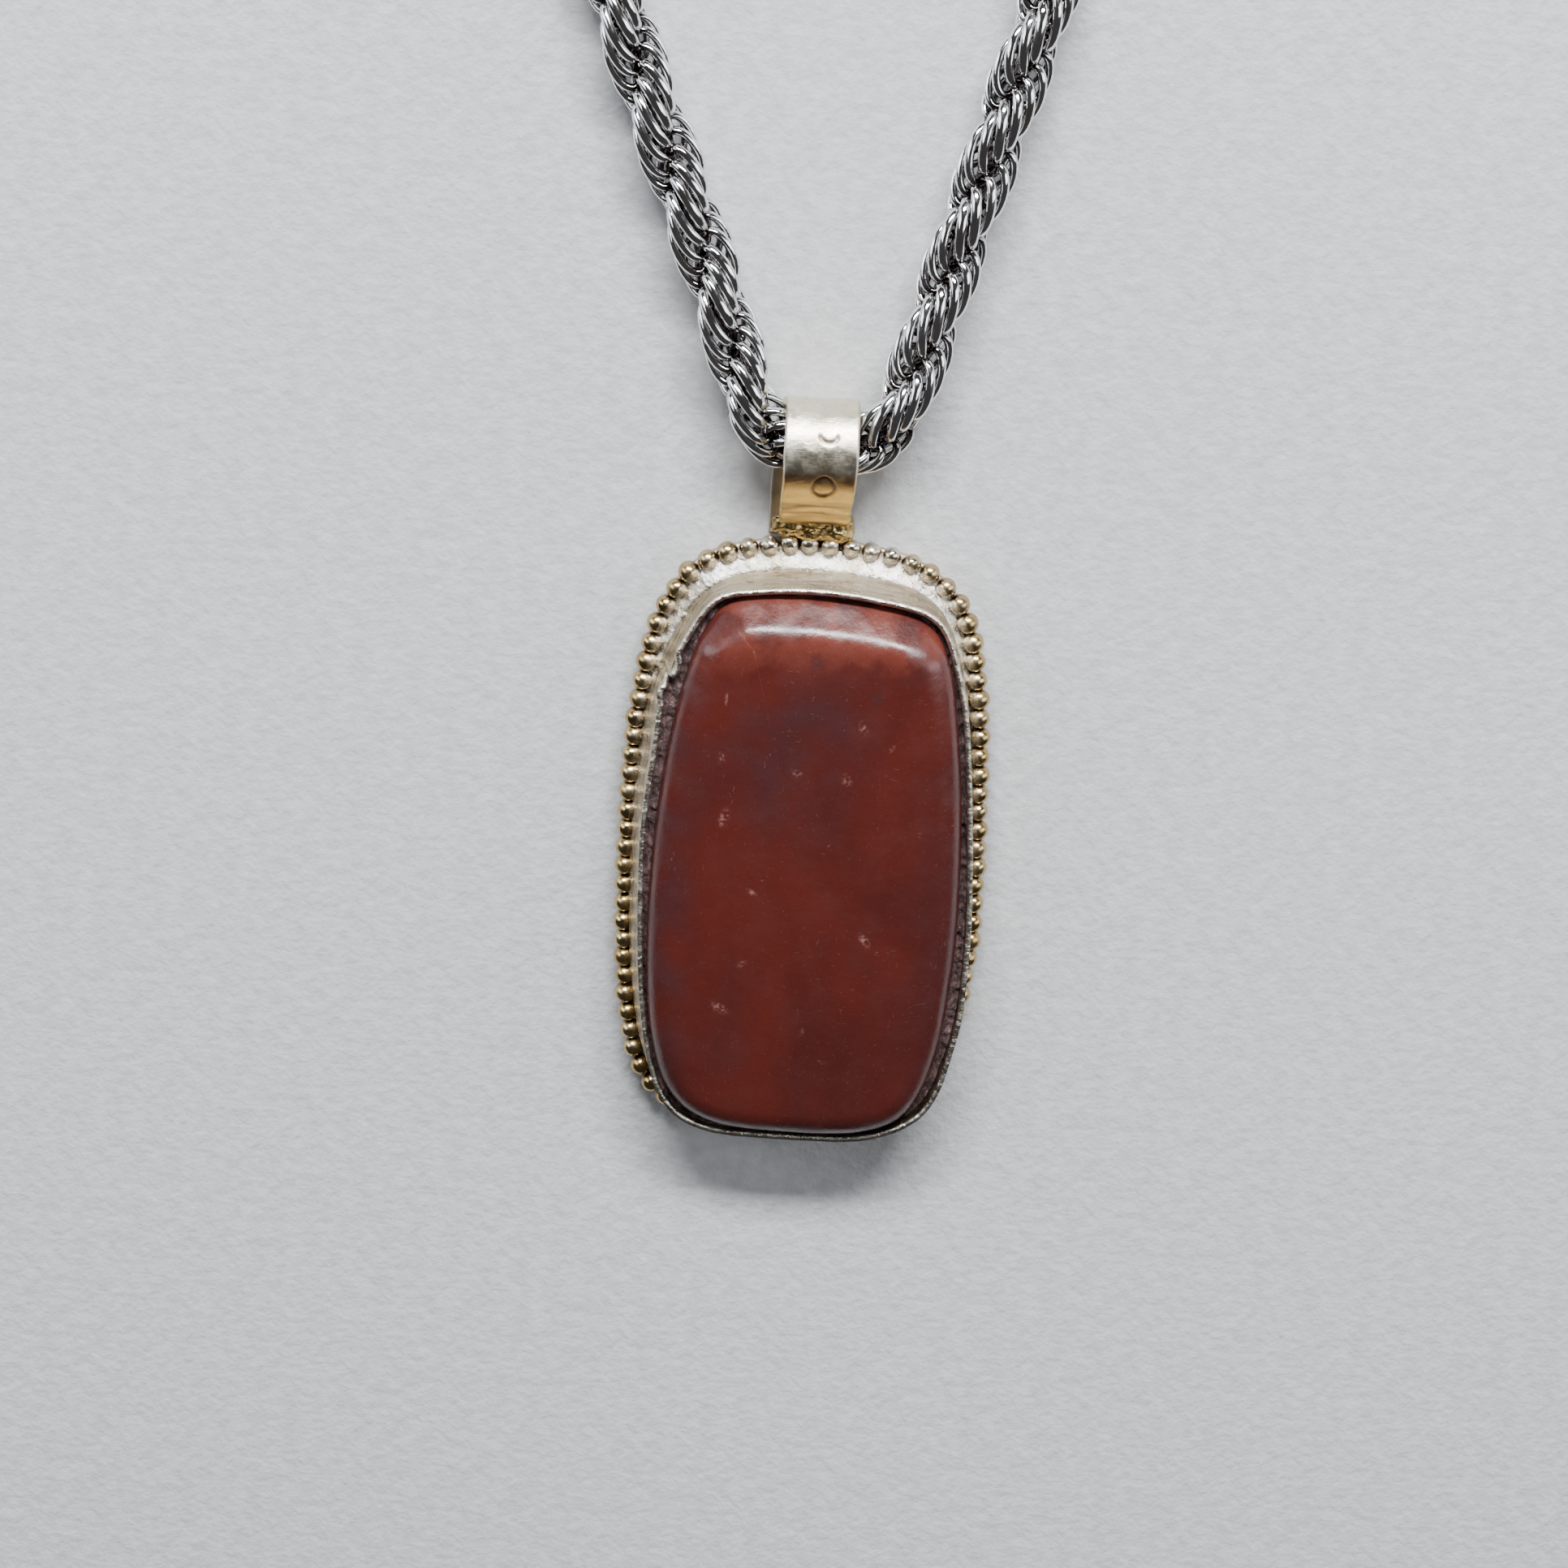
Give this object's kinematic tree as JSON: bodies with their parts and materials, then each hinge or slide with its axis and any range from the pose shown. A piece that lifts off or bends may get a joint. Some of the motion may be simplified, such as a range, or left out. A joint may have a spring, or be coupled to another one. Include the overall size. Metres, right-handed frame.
{
  "type": "pendant necklace",
  "caption": "Collet-set stone pendant with a beaded border and folded bail, hung on a thick rope chain with a lever clasp.",
  "frame": {"origin": "under the middle of the pendant, on the surface that its back plate lies on", "axes": "+X to the pendant's right seen from its face, +Y from its foot to its bail, +Z out of its face"},
  "size_m": [0.059, 0.1726, 0.0084],
  "materials": {
    "plate_metal": "dull, hand-filed silver alloy",
    "bezel_metal": "worn, tarnished silver alloy with a brassy cast",
    "stone": "polished dark red-brown carnelian",
    "bedding": "dark granular packing",
    "bail_metal": "bright silver, brassy towards its foot",
    "solder": "rough brown-gold solder",
    "chain_metal": "bright polished silver",
    "finding_metal": "polished silver",
    "steel": "spring steel"
  },
  "bodies": {
    "chain": {"chain_run": "chain_metal", "chain_coil": "chain_metal", "chain_end_left": "chain_metal", "chain_end_right": "chain_metal", "end_cap_left": "finding_metal", "end_cap_right": "finding_metal"},
    "pendant": {"back_plate": "plate_metal", "bezel_strip": "bezel_metal", "bead_border": "bezel_metal", "stone": "stone", "stone_bedding": "bedding", "bail_strip": "bail_metal", "bail_solder": "solder"},
    "jump_ring": {"clasp_jump_ring": "finding_metal"},
    "clasp": {"clasp_body": "finding_metal", "clasp_pivot_pin": "steel", "clasp_spring": "steel"},
    "lever": {"clasp_lever": "finding_metal"},
    "catch_ring": {"end_ring": "finding_metal"}
  },
  "joints": [
    {"name": "pendant_swing", "type": "hinge", "parent": "chain", "child": "pendant", "pos_m": [-0.0004, 0.0286, 0.0039], "axis": [-1, 0, 0], "range_deg": [0, 130]},
    {"name": "jump_ring_swing", "type": "hinge", "parent": "chain", "child": "jump_ring", "pos_m": [-0.01095, 0.11831, 0.00295], "axis": [0, 0, 1], "range_deg": [-20, 20]},
    {"name": "clasp_swing", "type": "hinge", "parent": "jump_ring", "child": "clasp", "pos_m": [-0.00693, 0.11938, 0.0015], "axis": [0, 0, 1], "range_deg": [-20, 20]},
    {"name": "clasp_lever_pivot", "type": "hinge", "parent": "clasp", "child": "lever", "pos_m": [-0.00268, 0.11701, 0.0015], "axis": [0, 0, 1], "range_deg": [0, 20], "stiffness_Nm_per_rad": 0.002, "springref_deg": -20.05},
    {"name": "end_ring_swing", "type": "hinge", "parent": "chain", "child": "catch_ring", "pos_m": [-0.00486, 0.10087, 0.00295], "axis": [0, 0, 1], "range_deg": [-20, 20]}
  ]
}
